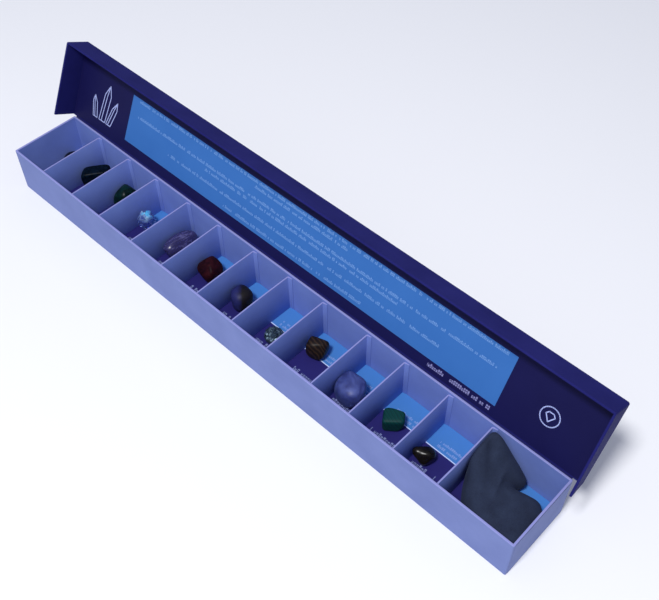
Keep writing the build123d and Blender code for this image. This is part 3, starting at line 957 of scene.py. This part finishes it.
def sparkling_crystal():
    """Rock crystal, cracked inside: clear glass, with a painted sparkle near its top, a patch of pale cracks
    that stands in for light glinting in the stone.

    The cracks are the cells of a Voronoi pattern, each with a random tone. Those close to the patch's middle
    are drawn as white to pale blue planes, a painted sparkle, and the others let light through.
    """
    crack, patch_edge, patch_core = 2.6 * MM, 6.5 * MM, 2.5 * MM
    made, tree = new_material("rock crystal")
    where = add(tree, "TexCoord", out="Object")
    cells = add(tree, "TexVoronoi", where, Scale=1 / crack, out="Color")
    glint, tint, _ = add(tree, "SeparateColor", cells).node.outputs
    low, high = stone_box("rock_crystal")
    middle = (low + (high - low) * np.array([0.6, 0.5, 0.9])).tolist()
    apart = add(tree, "VectorMath", where, middle, operation="DISTANCE", out="Value")
    # Painted sparkle: crack cells near the top are drawn pale and opaque, as if lit.
    painted_sparkle = product(tree, add(tree, "MapRange", apart, patch_edge, patch_core),
                     add(tree, "MapRange", glint, 0.25, 0.6, 0.1, 1.0))
    planes = add(tree, "Mix", add(tree, "MapRange", tint, 0.3, 0.7), linear("#3FA8DC"), linear("#BFF0FF"),
                 data_type="RGBA")
    return surface(made, Base_Color=add(tree, "Mix", painted_sparkle, linear("#8FA4E4"), planes, data_type="RGBA"),
                   Roughness=0.18, IOR=1.45,
                   Transmission_Weight=add(tree, "MapRange", painted_sparkle, 0.0, 1.0, 0.9, 0.05),
                   Normal=uneven(tree, where, 2 * MM, 0.1 * MM, 0.5, detail=2.0))


def split_sodalite():
    """Sodalite with a dark matrix: royal blue on one side of the stone, near black on the other."""
    seam, ragged, way = 1.5 * MM, 5 * MM, (0.72, 0.69, 0.0)
    made, tree = new_material("sodalite")
    where = add(tree, "TexCoord", out="Object")
    low, high = stone_box("sodalite")
    from_centre = add(tree, "VectorMath", where, ((low + high) / 2).tolist(), operation="SUBTRACT")
    apart = add(tree, "VectorMath", from_centre, way, operation="DOT_PRODUCT", out="Value")
    shifted = add(tree, "Math", apart, ragged / 2, operation="SUBTRACT")
    edge_noise = add(tree, "TexNoise", where, Scale=1 / (4 * MM), Detail=4.0)
    edge = add(tree, "Math", edge_noise, ragged, shifted, operation="MULTIPLY_ADD")
    cloud = add(tree, "TexNoise", where, Scale=1 / (3 * MM), Detail=4.0)
    blue = add(tree, "Mix", cloud, linear("#1B1D4C"), linear("#2A2E66"), data_type="RGBA")
    black = add(tree, "Mix", cloud, linear("#0C0B12"), linear("#201B1C"), data_type="RGBA")
    side = add(tree, "MapRange", edge, -seam, seam)
    return surface(made, Base_Color=add(tree, "Mix", side, blue, black, data_type="RGBA"), Roughness=0.5,
                   Specular_IOR_Level=0.2, Normal=uneven(tree, where, 1.2 * MM, 0.05 * MM, 0.4))


def make_stones():
    """Twelve stones, one for each small cell from left to right, each with its own mineral's finish."""
    hematite = polished("polished hematite", ("#101014", "#26272E"), 3 * MM, Roughness=0.22, Metallic=0.6)
    add_stone("hematite", hematite, (1.2, 1.4, 1.0), seed=1)
    obsidian = polished("volcanic glass", ("#02060C", "#0A1828"), 2 * MM, Roughness=0.36,
                        Specular_IOR_Level=0.05)
    add_stone("obsidian", obsidian, (1.6, 0.9, 1.0), turn=50, seed=27, square=5.5, lump=0.035, flats=2)
    moss_agate = polished("moss agate", ("#031212", "#082725"), 3.5 * MM, (0.38, 0.62),
                          ("#35604F", 6 * MM, 0.3), Roughness=0.34, Specular_IOR_Level=0.14)
    add_stone("moss_agate", moss_agate, (0.84, 1.12, 1.0), seed=3, square=2.7, taper=0.3,
              tip=(-0.6, -1, -0.35))
    facet_rock("rock_crystal", sparkling_crystal(), seed=8, facets=34, depth=(0.80, 1.0))
    fluorite = cloudy_crystal("violet fluorite", ("#4E4A86", "#7C7AAE"), 3.4 * MM, 0.62, (0.5, 0.75),
                              (1.6, 0.45, 1.2), Roughness=0.26, IOR=1.38)
    add_stone("fluorite", fluorite, (2.0, 1.0, 1.05), turn=85, seed=5, square=2.5, lump=0.04, flats=6)
    red_jasper = polished("red jasper", ("#170810", "#300F16"), 4 * MM, (0.35, 0.65),
                          ("#5A2A26", 6 * MM, 0.2), Roughness=0.45, Specular_IOR_Level=0.06)
    add_stone("red_jasper", red_jasper, (1.06, 1.0, 0.95), seed=16, square=2.8, flats=7)
    add_stone("sodalite", split_sodalite(), (0.97, 1.0, 1.02), seed=7)
    pyrite = polished("pyrite", ("#22323E", "#5D7282"), 1.2 * MM, Roughness=0.34, Metallic=0.7)
    grain_cluster("pyrite", pyrite, seed=4, count=210)
    brown_bands = ((0.0, "#150F0D"), (0.3, "#221814"), (0.55, "#3A2A1C"), (0.75, "#1F1612"), (1.0, "#150F0D"))
    add_stone("tiger_eye", banded("tiger eye", brown_bands, 2.6 * MM, 9 * MM, 0.48), (0.94, 0.89, 0.93),
              turn=15, seed=9, square=3.2, flats=7, lump=0.04)
    chalcedony = cloudy_crystal("blue chalcedony", ("#434D92", "#5E6DB0"), 8 * MM, 0.5, (0.35, 0.75),
                                Roughness=0.45, IOR=1.35)
    add_stone("chalcedony", chalcedony, (1.05, 1.0, 0.95), seed=10, square=2.6, taper=0.22,
              tip=(-0.7, 0.3, 0.6))
    green_bands = ((0.0, "#022828"), (0.25, "#033C3A"), (0.5, "#023331"), (0.7, "#04423E"), (1.0, "#022828"))
    add_stone("malachite", banded("malachite", green_bands, 2.2 * MM, 12 * MM, 0.6), (0.86, 0.71, 0.72),
              turn=38, seed=11, square=6.0, lump=0.025, flats=3)
    smoky_quartz = polished("smoky quartz", ("#0A0908", "#1C1814"), 5 * MM, Roughness=0.26,
                            Specular_IOR_Level=0.22)
    add_stone("smoky_quartz", smoky_quartz, (1.0, 1.0, 0.9), seed=12, square=2.1, lump=0.03, flats=2,
              tip=(-1.0, -0.5, 0.5), point=0.75)


# ================================================================ felt bag

def felt():
    """Wool felt: matt slate blue, clouded, with matted fibres that catch a little light at the form's rim."""
    made, tree = new_material("slate wool felt")
    where = add(tree, "TexCoord", out="Object")
    cloud = add(tree, "TexNoise", where, Scale=1 / (9 * MM), Detail=3.0)
    # A wool fibre is too fine to show; the noise is as wide as the clumps that matting makes of them.
    fibre = add(tree, "TexNoise", where, Scale=1 / (0.7 * MM), Detail=5.0, Roughness=0.75, Distortion=0.8)
    tone = add(tree, "MapRange", weighted(tree, fibre, 0.55, cloud), 0.35, 0.65)
    colour = add(tree, "Mix", tone, linear("#242A3C"), linear("#30394F"), data_type="RGBA")
    relief = add(tree, "Bump", Height=fibre, Distance=0.25 * MM, Strength=0.5)
    return surface(made, Base_Color=colour, Roughness=0.95, Sheen_Weight=0.08, Sheen_Roughness=0.5,
                   Sheen_Tint=linear("#8E9CC8"), Specular_IOR_Level=0.08, Normal=relief)


# The bag's outline on the floor and the lines on its top, in millimetres from the large cell's left front
# corner. It leans in the back left corner and lies folded towards the right.
BAG_OUTLINE = ((1.2, 28), (5.5, 18), (12.5, 8), (24, 2.6), (38, 2.0), (48, 3.2), (51.2, 11), (51.4, 27),
               (51.4, 36), (45, 43), (36, 41.6), (25.5, 38), (31.4, 46.5), (30.5, 50.4), (22, 50.6),
               (1.0, 50.6))
BAG_CENTRE = (21.0, 28.0)
BAG_CREASE = ((30.0, 42.0), (15.0, 29.0))
BAG_TOP, BAG_FOLD_TOP = 33.0, 15.0
CREASE_DEPTH, CREASE_WIDTH = 3.5, 3.0


def soft_over(value, width):
    """The part of a value above zero, with a round start of the given width."""
    return width * np.log1p(np.exp(np.clip(value / width, -40, 40)))


def eased(value):
    """Number from 0 to 1, with soft ends."""
    held = np.clip(value, 0, 1)
    return held * held * (3 - 2 * held)


def bag_height(u, v):
    """Height of the bag's top over the floor: a low plump part, and a part that leans in the corner.

    The leaning part falls from its top by a slope to the right and two to the front. Both parts meet
    softly, and a crease runs in from the notch between them and fades out.
    """
    leaning = (BAG_TOP - 1.0 * soft_over(u - 7, 1.2) - 0.9 * soft_over(33 - v, 2.0)
               - 0.12 * soft_over(44 - v, 2.0))
    plump = BAG_FOLD_TOP - 0.035 * (u - 30) - 0.02 * np.abs(v - 22)
    top = plump + soft_over(leaning - plump, 2.2)
    start, end = np.array(BAG_CREASE)
    length = np.linalg.norm(end - start)
    way = (end - start) / length
    along = ((u - start[0]) * way[0] + (v - start[1]) * way[1]) / length
    across = (u - start[0]) * way[1] - (v - start[1]) * way[0]
    fade = np.clip(1 - along, 0, 1.3)
    return top - CREASE_DEPTH * fade * np.exp(-(across / CREASE_WIDTH) ** 2)


def bag_form():
    """Grid of the bag: rings from the middle of its underside, out over its rim and in to its crown.

    The rim is round, except where the bag is pressed flat into the back left corner: there it is squarer.
    The rings of each lobe close about the lobe's own centre, so that the notch between them stays open.
    """
    outline = np.array(BAG_OUTLINE)
    closed = np.concatenate([outline, outline[:1]])
    length = np.concatenate([[0], np.cumsum(np.linalg.norm(np.diff(closed, axis=0), axis=1))])
    at = np.linspace(0, length[-1], 180, endpoint=False)
    loop = np.stack([np.interp(at, length, closed[:, k]) for k in (0, 1)], axis=1)
    for _ in range(9):
        loop = (np.roll(loop, 1, axis=0) + 2 * loop + np.roll(loop, -1, axis=0)) / 4
    pressed = np.clip((loop[:, 1] - 20) / 8, 0, 1) * np.clip((31 - loop[:, 0]) / 8, 0, 1)
    a = np.linspace(-pi / 2, pi / 2, 71)[:-1, None]
    share = np.cos(a) ** (0.42 - 0.36 * pressed)
    rise = np.sign(a) * np.abs(np.sin(a)) ** (1 - 0.75 * pressed)
    low_lobe = eased((loop[:, 0] - 29) / 10)
    high_lobe = eased((loop[:, 1] - 40) / 7) * eased((34 - loop[:, 0]) / 6)
    centre = np.array(BAG_CENTRE) + low_lobe[:, None] * (8, -7) + high_lobe[:, None] * (-7, 5)
    u = centre[:, 0] + (loop[:, 0] - centre[:, 0]) * share
    v = centre[:, 1] + (loop[:, 1] - centre[:, 1]) * share
    z = (rise * 0.5 + 0.5) * bag_height(u, v)
    corner = np.array([CELL_EDGES[-2] + CARD / 2, TRAY_LOW[1] + WALL, FLOOR + 0.1 * MM])
    return corner + np.stack([u, v, z], axis=-1) * MM


def apply_modifier(made, modifier):
    """Makes a modifier's result the piece's own mesh."""
    with bpy.context.temp_override(object=made, active_object=made, selected_objects=[made]):
        bpy.ops.object.modifier_apply(modifier=modifier.name)


def soften(made, most):
    """Remeshes a closed form, lets cloth under pressure pull it taut, and keeps each point near its start.

    Afterwards the form is carried back into the box that it had, so it stays clear of the cell's walls.
    """
    last_frame = 20
    remesh = made.modifiers.new("remesh", "REMESH")
    remesh.mode, remesh.voxel_size = "VOXEL", 1.3 * MM
    apply_modifier(made, remesh)
    start = vertex_places(made.data)
    cloth = made.modifiers.new("cloth", "CLOTH")
    cloth.settings.quality = 5
    cloth.settings.mass = 0.2
    cloth.settings.tension_stiffness = cloth.settings.compression_stiffness = 8.0
    cloth.settings.bending_stiffness = 0.8
    cloth.settings.use_pressure = True
    cloth.settings.uniform_pressure_force = 4.0
    cloth.settings.effector_weights.gravity = 0.0
    cloth.point_cache.frame_start, cloth.point_cache.frame_end = 1, last_frame
    for number in range(1, last_frame + 1):
        bpy.context.scene.frame_set(number)
    apply_modifier(made, cloth)
    bpy.context.scene.frame_set(1)
    moved = vertex_places(made.data) - start
    far = np.linalg.norm(moved, axis=1, keepdims=True)
    places = start + moved * np.minimum(1, most / np.maximum(far, 1e-9))
    places = in_box(places, start.min(axis=0), start.max(axis=0))
    made.data.vertices.foreach_set("co", places.ravel())
    smooth = made.modifiers.new("rounding", "SUBSURF")
    smooth.levels = smooth.render_levels = 1
    apply_modifier(made, smooth)
    made.data.shade_smooth()


def make_bag():
    """The felt bag: its form is remeshed, blown up a little by cloth simulation, and smoothed once."""
    bag = skin("felt_pouch", bag_form(), felt(), crease=180)
    soften(bag, 0.9 * MM)
    finish_piece(bag, "felt_bag", "slate_felt", "felt_bag")


# ================================================================ stage

def aim(thing, place, target):
    """Puts a lamp at a place and points it at a target."""
    away = place - target
    away /= np.linalg.norm(away)
    side = np.cross([0, 0, 1], away)
    side /= np.linalg.norm(side)
    pose = np.eye(4)
    pose[:3, :3] = np.array([side, np.cross(away, side), away]).T
    pose[:3, 3] = place
    thing.matrix_world = Matrix(pose.tolist())


def make_stage():
    """A pale floor, one soft lamp above the front right, and an even bluish fill from all around."""
    half = 6.0
    mesh = bpy.data.meshes.new("floor")
    mesh.from_pydata([(-half, -half, 0), (half, -half, 0), (half, half, 0), (-half, half, 0)], [],
                     [(0, 1, 2, 3)])
    paper = surface(new_material("studio floor")[0], Base_Color=linear("#F1F1F3"), Roughness=0.9)
    add_object("floor", mesh, paper)
    world = bpy.data.worlds.new("studio")
    bpy.context.scene.world = world
    world.use_nodes = True
    background = world.node_tree.nodes["Background"]
    background.inputs["Color"].default_value = linear("#E2E9FF")
    background.inputs["Strength"].default_value = 0.46
    key = bpy.data.lights.new("key", "AREA")
    key.shape, key.size, key.energy = "DISK", 0.28, 23.0
    lamp = bpy.data.objects.new("key", key)
    bpy.context.scene.collection.objects.link(lamp)
    aim(lamp, np.array([0.24, -0.68, 1.52]), np.array([0.0, 0.0, 0.02]))


def make_camera():
    """The photograph's view, worked out from the box's straight edges: place, way it looks and small roll."""
    place = np.array([313.2, -250.1, 506.8]) * MM
    azimuth, elevation, roll = radians(44.30), radians(50.38), radians(-0.82)
    camera = bpy.data.cameras.new("camera")
    camera.sensor_width, camera.lens = 36.0, 51.63
    made = bpy.data.objects.new("camera", camera)
    bpy.context.scene.collection.objects.link(made)
    turn = Matrix.Rotation(azimuth, 4, "Z") @ Matrix.Rotation(pi / 2 - elevation, 4, "X")
    made.matrix_world = Matrix.Translation(place) @ turn @ Matrix.Rotation(roll, 4, "Z")
    bpy.context.scene.camera = made
    bpy.context.scene.view_settings.view_transform = "Standard"


make_tray_wall()
make_tray_bottom()
make_end_papers()
make_floor_card()
make_dividers()
make_lid_shell()
make_lid_lining()
make_lid_marks()
make_hinge_cloth()
make_stones()
make_bag()
make_stage()
make_camera()
